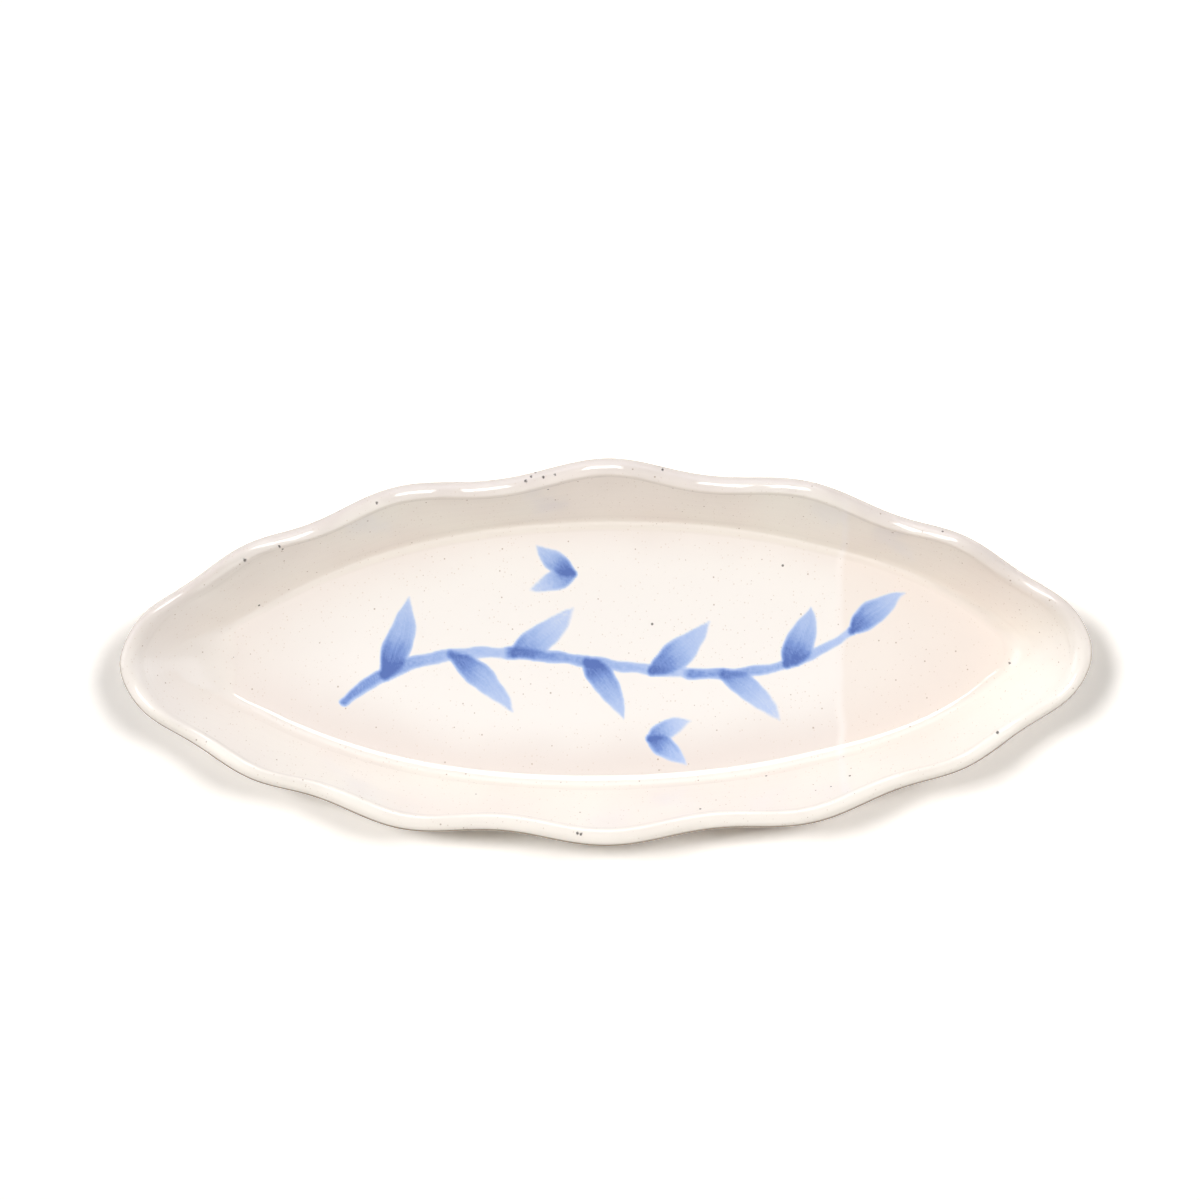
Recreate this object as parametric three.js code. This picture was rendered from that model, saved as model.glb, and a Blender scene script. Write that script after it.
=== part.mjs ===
// Leaf-shaped serving platter, hand built in stoneware. Millimetres, +Z up.
// The origin is on the table under the middle of the outline, with +X along the platter.
//
// The wall is a thrown ring, squeezed into a pointed oval, flared and fluted. It stands on the
// edge of a slab. A coil fills the inside corner, a coil makes the lip and a coil makes the foot.
// A thin layer of slip joins each piece to the next.

import * as THREE from 'three';

// Floor, measured on the corner between slab and wall, behind the corner coil
const floorLength = 300;
const floorWidth = 104.6;
const slabThickness = 6;
const slabTaper = 3;
const slabBevel = 1;

// Rim, measured on the mean line of its lobes
const rimLength = 356;
const rimWidth = 136.8;
const rimHeight = 37;

// Lobes of the fluted wall: out in the plan, and down where they lean out
const lobeCount = 14;
const lobeDepth = 1.9;
const lobeDrop = 1;
const lobeGrowth = 1.5;

// Leaf outline: how far it draws in between tip and belly, and how near to the tips
const pinch = 0.041;
const pinchTowardsTips = 0.69;
const bow = 1.4;

// Wall, and the round bead of the lip with the turns where it leaves the wall, in degrees
const wallBaseThickness = 5.5;
const wallCurve = 1.12;
const lipRadius = 3.5;
const lipLean = 30;
const lipTuck = 20;

// Corner coil
const filletRun = 3.5;
const filletRise = 5;
const coilEdge = 0.5;

// Foot
const footHeight = 4;
const footInset = 16.5;
const footTopWidth = 9;
const footBottomWidth = 6;
const footBevel = 1;

// Layer of slip between two pieces
const slipJoint = 0.3;

// Steps of the facets
const stepsPerLobe = 10;
const coilSteps = 2;
const wallSteps = 4;
const lipSteps = 8;
const filletSteps = 5;

// Levels and widths that follow from the sizes above
const stationCount = lobeCount * stepsPerLobe;
const endFlare = (rimLength - floorLength) / 2;
const sideFlare = (rimWidth - floorWidth) / 2;
const slabBottom = footHeight + slipJoint;
const floorTop = slabBottom + slabThickness;
const wallBottom = floorTop + slipJoint;
const lipInnerTurn = Math.PI - THREE.MathUtils.degToRad(lipLean);
const lipOuterTurn = -THREE.MathUtils.degToRad(lipTuck);

// Corners of the wall's section. Its top is cut square to its lean, under the bead.
const wallInnerFoot = sectionPoint(0, 0, wallBottom);
const wallOuterFoot = sectionPoint(0, wallBaseThickness, wallBottom);
const wallInnerTop = lipPoint(lipInnerTurn).add(sectionPoint(0, 0, -slipJoint));
const wallOuterTop = lipPoint(lipOuterTurn).add(sectionPoint(0, 0, -slipJoint));

// Shares of the wall's rise where its facets meet: behind the corner coil, then up to the lip
const coilShare = filletRise / (wallInnerTop.z - wallBottom);
const coilShares = evenSteps(0, coilShare, coilSteps);
const wallShares = [...coilShares, ...evenSteps(coilShare, 1, wallSteps).slice(1)];

function evenSteps(first, last, steps) {
  return Array.from({ length: steps + 1 }, (_, step) => THREE.MathUtils.lerp(first, last, step / steps));
}

// A point of a section is a vector of three: spread, which is 0 on the floor's outline and 1 on
// the rim's, outward, the distance in millimetres from that outline, and height.
function sectionPoint(spread, outward, height) {
  return new THREE.Vector3(spread, outward, height);
}

// The bead's outline, with turn 0 on its outermost point and a quarter turn on its crest
function lipPoint(turn) {
  const outward = lipRadius * Math.cos(turn) - lipRadius;
  return sectionPoint(1, outward, rimHeight - lipRadius + lipRadius * Math.sin(turn));
}

// The pointed oval at one angle round the platter, for one point of a section
function outlinePoint(angle, point) {
  const [spread, outward, height] = point.toArray();
  const along = Math.cos(angle);
  const across = Math.sin(angle);
  const halfLength = floorLength / 2 + endFlare * spread + outward;
  const halfWidth = floorWidth / 2 + sideFlare * spread + outward;
  const shoulder = Math.sin(2 * angle) ** 2 * (1 + pinchTowardsTips * Math.cos(2 * angle));
  const drawnIn = 1 - pinch * shoulder;
  const lobe = -Math.cos(lobeCount * angle) * spread ** lobeGrowth;
  return new THREE.Vector3(
    halfLength * along * drawnIn,
    (halfWidth + lobeDepth * lobe) * across * drawnIn - bow * along ** 2,
    height - lobeDrop * lobe * across ** 2,
  );
}

// One row of points round the platter for each point of the section
function rowsOfPoints(section) {
  return section.map((point) => {
    const angles = evenSteps(0, 2 * Math.PI, stationCount).slice(0, stationCount);
    return angles.map((angle) => outlinePoint(angle, point));
  });
}

// Two triangles for each cell between two neighbouring rows
function bandBetween(lowerRow, upperRow) {
  const triangles = [];
  for (let station = 0; station < stationCount; station += 1) {
    const next = (station + 1) % stationCount;
    const a = lowerRow * stationCount + station;
    const b = lowerRow * stationCount + next;
    const c = upperRow * stationCount + next;
    const d = upperRow * stationCount + station;
    triangles.push(a, b, c, a, c, d);
  }
  return triangles;
}

function geometryFrom(points, triangles) {
  const geometry = new THREE.BufferGeometry().setFromPoints(points);
  geometry.setIndex(triangles);
  geometry.computeVertexNormals();
  return geometry;
}

// A ring whose section is a closed outline, listed anticlockwise as seen with outward to the right
function ringGeometry(section) {
  const rows = rowsOfPoints(section);
  const triangles = rows.flatMap((_, row) => bandBetween(row, (row + 1) % rows.length));
  return geometryFrom(rows.flat(), triangles);
}

// A disc whose edge is an open section from its flat bottom up to its flat top
function discGeometry(section) {
  const rows = rowsOfPoints(section);
  const triangles = rows.slice(1).flatMap((_, row) => bandBetween(row, row + 1));
  const topRow = (rows.length - 1) * stationCount;
  const bottomCentre = rows.length * stationCount;
  const topCentre = bottomCentre + 1;
  for (let station = 0; station < stationCount; station += 1) {
    const next = (station + 1) % stationCount;
    triangles.push(bottomCentre, next, station);
    triangles.push(topCentre, topRow + station, topRow + next);
  }
  const centres = [section[0], section.at(-1)].map((point) => new THREE.Vector3(0, 0, point.z));
  return geometryFrom([...rows.flat(), ...centres], triangles);
}

// The wall's inner and outer faces at a share of its rise, from 0 on the slab to 1 under the lip
function wallFace(share, foot, top) {
  return foot.clone().lerp(top, share).setX(share ** wallCurve);
}

function innerWall(share) {
  return wallFace(share, wallInnerFoot, wallInnerTop);
}

function outerWall(share) {
  return wallFace(share, wallOuterFoot, wallOuterTop);
}

// The slab's edge carries the slope of the wall on down, to a small bevel
function floorSlab() {
  const bottomOutward = wallBaseThickness - slabTaper;
  return discGeometry([
    sectionPoint(0, bottomOutward - slabBevel, slabBottom),
    sectionPoint(0, bottomOutward, slabBottom + slabBevel),
    sectionPoint(0, wallBaseThickness, floorTop),
  ]);
}

function wallRing() {
  return ringGeometry([...wallShares.map(outerWall), ...wallShares.map(innerWall).reverse()]);
}

// The coil's back lies on the wall and on the slab, and its face is a hollow curve between them
function seamCoil() {
  const slip = sectionPoint(0, -slipJoint, 0);
  const edge = sectionPoint(0, -coilEdge, 0);
  const lift = sectionPoint(0, 0, coilEdge);
  const back = coilShares.map((share) => innerWall(share).add(slip));
  const toe = sectionPoint(0, -filletRun, wallBottom);
  const face = new THREE.QuadraticBezierCurve3(
    back.at(-1).clone().add(edge),
    back[0].clone().add(edge).add(lift),
    toe.clone().add(lift),
  );
  return ringGeometry([...back, ...face.getPoints(filletSteps), toe]);
}

// A round bead, cut flat where it sits on the wall, flush inside and rolled over outside
function rimCoil() {
  return ringGeometry(evenSteps(lipOuterTurn, lipInnerTurn, lipSteps).map(lipPoint));
}

function footRing() {
  const halfBottom = footBottomWidth / 2;
  const halfTop = footTopWidth / 2;
  const outerSide = [
    sectionPoint(0, halfBottom - footInset, 0),
    sectionPoint(0, halfBottom + footBevel - footInset, footBevel),
    sectionPoint(0, halfTop - footInset, footHeight),
  ];
  const innerSide = [
    sectionPoint(0, -halfTop - footInset, footHeight),
    sectionPoint(0, -halfBottom - footBevel - footInset, footBevel),
    sectionPoint(0, -halfBottom - footInset, 0),
  ];
  return ringGeometry([...outerSide, ...innerSide]);
}

function glazed() {
  return new THREE.MeshStandardMaterial({ color: 0xf6eadf, roughness: 0.18, metalness: 0 });
}

function bareClay() {
  return new THREE.MeshStandardMaterial({ color: 0xcdb497, roughness: 0.85, metalness: 0 });
}

function subPart(name, geometry, material) {
  const mesh = new THREE.Mesh(geometry, material);
  mesh.name = name;
  return mesh;
}

const platter = new THREE.Group();
platter.add(
  subPart('floor_slab', floorSlab(), glazed()),
  subPart('wall_ring', wallRing(), glazed()),
  subPart('seam_coil', seamCoil(), glazed()),
  subPart('rim_coil', rimCoil(), glazed()),
  subPart('foot_ring', footRing(), bareClay()),
);

export default platter;
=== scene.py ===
import math

import bpy
import numpy as np
from mathutils import Matrix, Vector


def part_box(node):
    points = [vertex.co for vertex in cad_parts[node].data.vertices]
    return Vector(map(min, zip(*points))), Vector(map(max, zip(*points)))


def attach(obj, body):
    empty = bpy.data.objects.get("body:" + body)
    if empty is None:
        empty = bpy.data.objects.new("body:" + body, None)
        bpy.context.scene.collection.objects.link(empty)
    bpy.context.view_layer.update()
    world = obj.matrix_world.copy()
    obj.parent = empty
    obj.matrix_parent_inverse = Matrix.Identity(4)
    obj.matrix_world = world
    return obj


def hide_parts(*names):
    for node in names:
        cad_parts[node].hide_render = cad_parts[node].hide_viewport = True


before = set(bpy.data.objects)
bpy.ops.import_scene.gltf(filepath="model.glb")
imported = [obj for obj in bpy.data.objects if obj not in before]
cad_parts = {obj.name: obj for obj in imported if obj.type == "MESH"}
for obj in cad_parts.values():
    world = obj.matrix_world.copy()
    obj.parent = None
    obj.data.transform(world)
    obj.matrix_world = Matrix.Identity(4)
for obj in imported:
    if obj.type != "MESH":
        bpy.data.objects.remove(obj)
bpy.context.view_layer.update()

MM = 0.001
BODY = "root"

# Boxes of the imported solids, which give the platter its sizes
slab_low, slab_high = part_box("floor_slab")
rim_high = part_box("rim_coil")[1]
foot_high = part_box("foot_ring")[1]

# Wall, and the bead of the lip with the turns where it leaves the wall
WALL_BASE = 5.5 * MM
WALL_CURVE = 1.12
LIP_RADIUS = 3.5 * MM
LIP_LEAN = math.radians(30)
LIP_TUCK = math.radians(20)

# Lobes and leaf outline. The solids' rim waves up and down too, which its box takes in.
LOBES = 14
LOBE_DEPTH = 1.9 * MM
LOBE_GROWTH = 1.5
SIDE_LOBE_LIFT = 1.7 * MM
TIP_LOBE_LIFT = 2.2 * MM
LEVEL_TIP = 0.3
SOLID_RIM_WAVE = 1.0 * MM
PINCH = 0.041
PINCH_TOWARDS_TIPS = 0.69
BOW = 1.4 * MM

# Levels and half sizes
FLOOR_Z = slab_high.z
UNDER_Z = slab_low.z
RIM_Z = rim_high.z - SOLID_RIM_WAVE
FLOOR_HALF_LENGTH = slab_high.x - WALL_BASE
FLOOR_HALF_WIDTH = slab_high.y - WALL_BASE
END_FLARE = rim_high.x - FLOOR_HALF_LENGTH
SIDE_FLARE = rim_high.y - LOBE_DEPTH - FLOOR_HALF_WIDTH

# Corner coil: its run over the floor, how far it goes on past the corner, its first and last slope.
# Before it lie runs of flat floor, and its bed in the slab is given out and up from the corner.
SIDE_COIL = (4.0 * MM, -0.1 * MM, 0.17, 0.62)
LEFT_COIL = (12.3 * MM, 8.9 * MM, 0.0, 1.1)
RIGHT_COIL = (4.2 * MM, 3.05 * MM, 0.08, 1.2)
COIL_POINTS = 9
FLAT_RUNS = (4.0 * MM, 2.5 * MM, 1.3 * MM, 0.6 * MM)
COIL_BED = (-2.5 * MM, -0.8 * MM)

# Faces of the wall as shares of its rise: the inside from coil to lip, and the outside down again
SIDE_RISE = (0.10, 0.90)
LEFT_RISE = (0.52, 0.90)
RIGHT_RISE = (0.22, 0.90)
OUTSIDE_RISE = (0.93, 0.09)
RISE_POINTS = 8
OUTSIDE_POINTS = 6

# Seams between the pieces: a stretch of the section, and how many control points past its first
SEAMS = {
    "toe": ("coil", -0.2),
    "head": ("inside", 0.8),
    "lip_in": ("crown", 0),
    "lip_out": ("outside", 0),
    "slab_edge": ("outside", OUTSIDE_POINTS - 0.5),
}

# Lip, in from its outermost line and down from its crest, in millimetres
SIDE_CROWN = (
    (-6.95, 2.0), (-6.7, 1.2), (-6.4, 0.6), (-6.05, 0.22), (-5.6, 0.07), (-4.5, 0.05),
    (-3.1, 0.22), (-2.1, 0.66), (-1.1, 1.45), (-0.25, 2.5), (0.1, 3.6),
)
TIP_CROWN = (
    (-8.35, 3.45), (-7.65, 2.65), (-6.9, 1.85), (-6.1, 1.18), (-5.2, 0.62), (-4.2, 0.25),
    (-3.2, 0.1), (-2.2, 0.25), (-1.2, 0.78), (-0.3, 1.75), (0.12, 3.3),
)

# How thin the glaze has run over the lip, which also places the lip's painted light and shade: control
# points from its inner edge, and the thinning there
LIP_PLACES = (0.5, 2.0, 5.0, 7.0, 8.0, 8.8)
LIP_THINNING = (0.0, 0.22, 0.4, 0.6, 0.8, 1.0)

# How far the wall's foot is drawn in, where that fades towards the ends, and how far the right end
# is drawn out
FOOT_INSET = 2.8 * MM
LEFT_INSET_FADE = (0.90, 1.0)
RIGHT_INSET_FADE = (0.50, 0.88)
RIGHT_OUTSET = 2.5 * MM
RIGHT_OUTSET_FADE = (0.975, 1.0)

# One lobe that was pulled out further: its angle and its breadth in degrees, and how far
PULLED_LOBE = (88.5, 6.5)
PULLED_OUT = 1.4 * MM

# Edge of the slab under the wall, out and up from the underside, in millimetres
SLAB_EDGE = ((3.9, 3.1), (2.1, 0.5), (-0.2, 0.0), (-2.5, 0.0), (-4.5, 0.0), (-6.5, 0.0))

# Where coil and lip go over to a tip's section: the middle as an angle round the platter, the turns
# from it where the change begins and ends, and for the lip how far it goes
LEFT_COIL_CHANGE = (179.5, (16, 5))
LEFT_LIP_CHANGE = (170, (40, 18), 1.0)
RIGHT_COIL_CHANGE = (2, (28, 8))
RIGHT_LIP_CHANGE = (2, (38, 14), 0.7)

# Where the wall's foot was smeared soft: the middle and the breadth in degrees, how far along the
# rest of the far side, where that begins as shares of the half width, and how many passes
SMEARED = (148, 30)
FAR_SMEAR = 0.6
FAR_SMEAR_FADE = (0.0, 0.4)
SMEAR_PASSES = 300

# Foot
FOOT_OUTSIDE = FLOOR_HALF_LENGTH - foot_high.x
FOOT_TOP_WIDTH = 9.0 * MM
FOOT_BOTTOM_WIDTH = 6.0 * MM
FOOT_ROUND = 1.0 * MM

# Fineness of the meshes: points round a ring, rows for each span of a section, rows of the slab's top
# and underside, and how many of its edge's rows make one
STATIONS = LOBES * 50
SPAN_ROWS = 10
FLOOR_ROWS = 116
UNDER_ROWS = 12
EDGE_STEP = 3

# Throwing lines: their pitch and height, the rows kept clear at lip and slab, and the rows of a fade
THROW_PITCH = 4.2 * MM
THROW_HEIGHT = 0.008 * MM
THROW_MARGIN = 4
THROW_FADE = 12

# Slow waves of the wall, out and up, with their number round the platter, phase and share, and those
# of the floor
HAND_WAVE = 0.16 * MM
HAND_SWAYS = ((5, 0.4, 1.0), (9, 2.1, 0.7), (17, 4.0, 0.5))
HAND_RISE = 0.3 * MM
RISE_SWAY = (3, 1.2)
FLOOR_WAVE = 0.10 * MM

# Brush painting: the stem's control points in millimetres, and the places of its leaves
STEM_POINTS = ((-98, -17), (-42, 30), (34, -36), (92, 7))
LEAF_PLACES = (0.09, 0.22, 0.35, 0.48, 0.61, 0.74, 0.87)
LEAF_LENGTH = 30 * MM
LEAF_WIDTH = 9.5 * MM
LEAF_ANGLE = 46
LEAF_BEND = 3.0 * MM
STEM_WIDTH = 4.4 * MM
STEM_STEPS = 90
STROKE_STEPS = 26

# Sprouts: the place and heading of each, and the angle and wetness of its two leaves
SPROUTS = (((-12, 30), 168), ((16, -32), -10))
SPROUT_LEAVES = ((-26, 0.95), (32, 0.7))
SPROUT_LENGTH = 17 * MM
SPROUT_WIDTH = 6.8 * MM
SPROUT_BEND = 1.0 * MM

# Edge of a stroke, its unevenness, and how far a second stroke covers the first
SOFT_EDGE = 0.95 * MM
HAND_SHAKE = 0.24 * MM
OVERLAP = 0.9


def linear(red, green, blue):
    """A colour written as a screen shows it, turned to the linear numbers that shaders take."""
    def channel(value):
        value /= 255
        return value / 12.92 if value <= 0.04045 else ((value + 0.055) / 1.055) ** 2.4

    return (channel(red), channel(green), channel(blue), 1.0)


# Colours of glaze, paint and clay. Some of them paint light and shade: the lighter middle of the floor,
# the greyer far lip, the paler near lip and near side of the right end, the cooler left end and the dark
# near edge.
# The floor's middle colour stands partly for thick glaze and partly for a painted pool of light; the
# border colour below it is darker, partly painted shade.
GLAZE_THICK_AND_LIT = linear(246, 240, 233)
GLAZE_BORDER = linear(232, 221, 213)
GLAZE_CREAM = linear(240, 231, 220)
GLAZE = linear(249, 242, 230)
GLAZE_PINK = linear(247, 236, 225)
GLAZE_COOL_AND_SHADED = linear(236, 229, 223)
GLAZE_WARM = linear(238, 224, 212)
GLAZE_DOUBLE = linear(248, 241, 235)
GLAZE_THIN_AND_SHADED = linear(226, 215, 206)
GLAZE_PAINTED_LIGHT = linear(254, 246, 235)
GLAZE_EDGE_AND_SHADOW = linear(140, 115, 88)
SPECK_PALE = linear(214, 196, 178)
SPECK_BROWN = linear(160, 132, 104)
SPECK_DARK = linear(70, 60, 54)
PAINT_PALE = linear(200, 213, 238)
PAINT_LIGHT = linear(165, 187, 229)
PAINT_MID = linear(118, 147, 208)
PAINT_DARK = linear(82, 110, 180)
CLAY = linear(205, 180, 151)
CLAY_DARK = linear(176, 146, 114)
CLAY_GRIT = linear(120, 92, 68)

# Where the glaze changes colour, by its reach from the middle of the floor out to the lip
BORDER_REACH = (0.35, 1.1)
CREAM_REACH = (0.9, 1.3)
WALL_REACH = (1.5, 2.0)
COOL_REACH = (0.65, 1.3)
PAINTED_LIGHT_REACH = (1.1, 1.7)

# Where it changes along and across the platter: cooler and darker to the left, a painted shade;
# paler inside the near side of the right end, a painted light; and on the lip from its near side to
# its far side, painted light on the near lip and painted shade on the far lip
COOL_ALONG = (-60 * MM, -175 * MM)
COOL_MOST = 0.7
PAINTED_LIGHT_ALONG = (115 * MM, 152 * MM)
PAINTED_LIGHT_ACROSS = (16 * MM, 2 * MM)
LIP_ACROSS = (-40 * MM, 30 * MM)

# Blotches: their breadth, how far they move the floor's border, and the breadth over which that
# border shifts by one reach from the far side to the near, which paints the floor lighter towards its
# far side and darker towards its near side
FLOOR_BLOTCH = 40 * MM
WALL_BLOTCH = 45 * MM
LIP_BLOTCH = 16 * MM
BORDER_DRIFT = 0.35
BORDER_SHADE_SHIFT = 220 * MM

# How the lip's colour follows its thinning: grey on the far lip, partly thin glaze and partly painted
# shade; paler on the near lip, a painted light; and the dark near edge, partly bare clay and partly a
# painted contact shadow, with its greatest strength
FAR_THINNING_AND_SHADE = (0.0, 0.65)
NEAR_LIP_LIGHT = (0.1, 0.5)
EDGE_THINNING_AND_SHADOW = (0.8, 1.0)
EDGE_MOST = 0.9

# Second dip of the glaze near one end, and the brighter band along its edge, which wanders. On the
# walls the dip is kept on the far side, where it also paints shade, and fades towards the near.
BAND_X = 88 * MM
BAND_HALF = 2.6 * MM
BAND_BLOTCH = 30 * MM
BAND_WANDER = 7 * MM
BAND_MOST = 0.5
DIP_MOST = 0.5
DIP_ACROSS = (-10 * MM, 45 * MM)
DIP_AND_SHADE_ON_FAR_WALL = 0.6

# Specks in the glaze: the smallest and the solid core as shares of the radius, and for each kind its
# spacing, radius, share of the places that have one, strength and colour
SPECK_LEAST = 0.45
SPECK_CORE = 0.55
SPECKS = (
    (1.4 * MM, 0.36 * MM, 0.6, 0.5, SPECK_PALE),
    (3.6 * MM, 0.45 * MM, 0.5, 0.6, SPECK_BROWN),
    (11.0 * MM, 0.62 * MM, 0.6, 0.85, SPECK_DARK),
)

# Iron flecks that fired through the glaze: the grain and depth of their ragged edge, how far up a
# surface looks where they begin and where they are whole, their strength, and for each its place
# along and across and its radius, in millimetres
FLECK_GRAIN = 0.8 * MM
FLECK_RAGGED = 1.2 * MM
FLECK_LEAN = (0.0, 0.2)
FLECK_MOST = 0.9
FLECKS = (
    (-29.0, 66.6, 0.5), (-28.3, 63.6, 0.7), (-26.2, 65.2, 0.6), (-24.6, 66.7, 0.4), (-21.8, 64.9, 0.6),
    (-17.6, 65.8, 0.5), (21.7, 67.2, 0.6), (-82.6, 56.3, 0.6), (-118.4, 40.9, 0.5), (-131.0, 36.2, 0.8),
    (-11.1, -65.1, 0.8), (-9.9, -65.4, 0.7), (142.8, -30.6, 0.7), (150.5, -5.8, 0.5),
)

# Paint: the brush's load at each colour, the loads where it begins to cover and covers, the breadth
# of its grain and clouds, how much each varies the load, and the least load as a share
PAINT_STOPS = ((0.12, PAINT_PALE), (0.35, PAINT_LIGHT), (0.65, PAINT_MID), (0.95, PAINT_DARK))
PAINT_COVERS = (0.02, 0.22)
PAINT_GRAIN = 0.9 * MM
PAINT_CLOUD = 5 * MM
PAINT_VARIES = 0.45
PAINT_LEAST = 0.55

# Roughness of glaze and clay, the span that noise mostly keeps to, that span without its lowest part,
# and the detail of a fine noise
GLAZE_ROUGHNESS = (0.04, 0.07)
CLAY_ROUGHNESS = (0.78, 0.92)
NOISE_SPAN = (0.3, 0.7)
UPPER_SPAN = (0.35, 0.7)
FINE_DETAIL = 4.0

# Studio floor: its own colour, and what is added for the rays that see it, to bring it up to white
FLOOR_REACH = 8.0
FLOOR_COLOUR = (0.90, 0.88, 0.84, 1.0)
FLOOR_GAIN = (0.53, 0.50, 0.485, 1.0)

# Lights: the way to each, with its height as its share of the light on a level surface, its width
# in degrees and its colour. Lamps cast the shadow, and cards only brighten the platter.
AMBIENT = 0.02
LAMPS = {
    "left_lamp": ((-0.177, 0.083, 0.41), 13, (1.0, 1.0, 1.0)),
    "right_lamp": ((0.144, 0.0675, 0.333), 13, (1.0, 1.0, 1.0)),
}
CARDS = {
    "back_card": ((0.0, 0.25, 0.09), 50, (0.97, 1.01, 1.15)),
    "front_card": ((0.0, -0.18, 0.085), 40, (1.03, 0.99, 0.955)),
    "left_card": ((-0.195, 0.05, 0.064), 40, (1.0, 1.02, 1.1)),
    "right_card": ((0.14, 0.02, 0.034), 40, (1.0, 1.0, 1.05)),
}

# The key, a soft box overhead that only makes the highlights: the way to it, its distance, its
# breadth and length in degrees, its brightness, and the watts for each square metre at brightness 1
KEY_AIM = (0.0, 0.479, 0.878)
KEY_DISTANCE = 3.0
KEY_WIDTHS = (22, 20)
KEY_BRIGHTNESS = 9.0
KEY_WATTS = 4.0

# Camera: it looks straight down, as the photograph faces the platter's floor
PHOTO_PIXELS = 1200
RIM_CENTRE_PIXEL = (605.5, 654.2)
PIXEL_SIZE = 0.3648 * MM
CAMERA_DISTANCE = 1.2
CAMERA_ROLL = math.radians(-0.79)
SENSOR = 36.0


# Shape of the glazed skin

def angles_round():
    return np.linspace(0, 2 * math.pi, STATIONS, endpoint=False)


def outline(angle, spread, outward, height):
    """Points on the leaf outline: spread is 0 on the floor's outline and 1 on the rim's."""
    along, across = np.cos(angle), np.sin(angle)
    raised = np.clip(spread, 0, None)
    sway = sum(share * np.sin(count * angle + phase) for count, phase, share in HAND_SWAYS)
    from_pulled = (np.degrees(angle) - PULLED_LOBE[0]) / PULLED_LOBE[1]
    pulled = PULLED_OUT * np.exp(-(from_pulled**2))
    outward = outward + (HAND_WAVE * sway + pulled) * raised
    half_length = FLOOR_HALF_LENGTH + END_FLARE * spread + outward
    half_width = FLOOR_HALF_WIDTH + SIDE_FLARE * spread + outward
    shoulder = np.sin(2 * angle) ** 2 * (1 + PINCH_TOWARDS_TIPS * np.cos(2 * angle))
    drawn_in = 1 - PINCH * shoulder
    lobe = -np.cos(LOBES * angle) * raised**LOBE_GROWTH
    x = half_length * along * drawn_in
    y = (half_width + LOBE_DEPTH * lobe) * across * drawn_in - BOW * along**2
    lift = SIDE_LOBE_LIFT * across**2 + TIP_LOBE_LIFT * along**2
    lift = lift * (1 - np.exp(-((across / LEVEL_TIP) ** 2)))
    rise_count, rise_phase = RISE_SWAY
    z = height + lift * lobe + HAND_RISE * np.sin(rise_count * angle + rise_phase) * raised**2
    return np.stack(np.broadcast_arrays(x, y, z), axis=-1)


def rings(section, inset=0.0):
    """One ring of points round the platter for each point of a section, drawn in by an inset."""
    spread, outward, height = (np.asarray(section)[:, axis, None] for axis in range(3))
    return outline(angles_round()[None, :], spread, outward - inset, height)


def lip_point(turn):
    """The lip's bead, with turn 0 on its outermost point and a quarter turn on its crest."""
    outward = LIP_RADIUS * math.cos(turn) - LIP_RADIUS
    return np.array((1.0, outward, RIM_Z - LIP_RADIUS + LIP_RADIUS * math.sin(turn)))


def floor_point(outward, lift=0.0):
    return np.array((0.0, outward, FLOOR_Z + lift))


def wall_point(share, base, top):
    point = base + (top - base) * share
    point[0] = share**WALL_CURVE
    return point


def inner_wall(share):
    return wall_point(share, floor_point(0.0), lip_point(math.pi - LIP_LEAN))


def outer_wall(share):
    return wall_point(share, floor_point(WALL_BASE), lip_point(-LIP_TUCK))


def coil_face(run, past, first_slope, last_slope):
    """The corner coil's face, which leaves the floor at one slope and steepens evenly to another."""
    length = run + past
    across = np.linspace(0, length, COIL_POINTS)
    rise = first_slope * across + (last_slope - first_slope) * across**2 / (2 * length)
    return [floor_point(step - run, lift) for step, lift in zip(across, rise)]


def skin_controls(coil, rise, crown):
    """Control points of the skin's section, in stretches from the floor to the underside."""
    run = coil[0]
    return {
        "flat": [floor_point(-run - flat) for flat in FLAT_RUNS],
        "coil": coil_face(*coil),
        "inside": [inner_wall(share) for share in np.linspace(*rise, RISE_POINTS)],
        "crown": [np.array((1.0, outward * MM, RIM_Z - drop * MM)) for outward, drop in crown],
        "outside": [outer_wall(share) for share in np.linspace(*OUTSIDE_RISE, OUTSIDE_POINTS)],
        "under": [np.array((0.0, outward * MM, UNDER_Z + lift * MM)) for outward, lift in SLAB_EDGE],
    }


def smooth_step(value, low, high):
    share = np.clip((value - low) / (high - low), 0, 1)
    return share**2 * (3 - 2 * share)


def share_round(middle, fade, most=1.0):
    """How far each station has gone over to a tip's section."""
    turn = np.abs((np.degrees(angles_round()) - middle + 180) % 360 - 180)
    return most * smooth_step(turn, *fade)


def tip_share(row_count, marks, coil_change, lip_change):
    """How far each row and station has gone over, by the coil up to its head and then by the lip."""
    coil, lip = share_round(*coil_change), share_round(*lip_change)
    upper = smooth_step(np.arange(row_count), marks["head"], marks["lip_in"])[:, None]
    return (coil[None, :] * (1 - upper) + lip[None, :] * upper)[..., None]


def inset_round():
    """How far the wall's foot is drawn in at each station: not at the left end, and out at the right."""
    along = np.cos(angles_round())
    sides = 1 - smooth_step(along, *RIGHT_INSET_FADE) - smooth_step(-along, *LEFT_INSET_FADE)
    return FOOT_INSET * sides - RIGHT_OUTSET * smooth_step(along, *RIGHT_OUTSET_FADE)


def foot_inset(row_count, marks):
    """How far each row and station is drawn in: all of it up to the wall's foot, none at the lip."""
    rise = (np.arange(row_count) - marks["head"]) / (marks["lip_in"] - marks["head"])
    return (1 - np.clip(rise, 0, 1))[:, None] * inset_round()[None, :]


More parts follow.
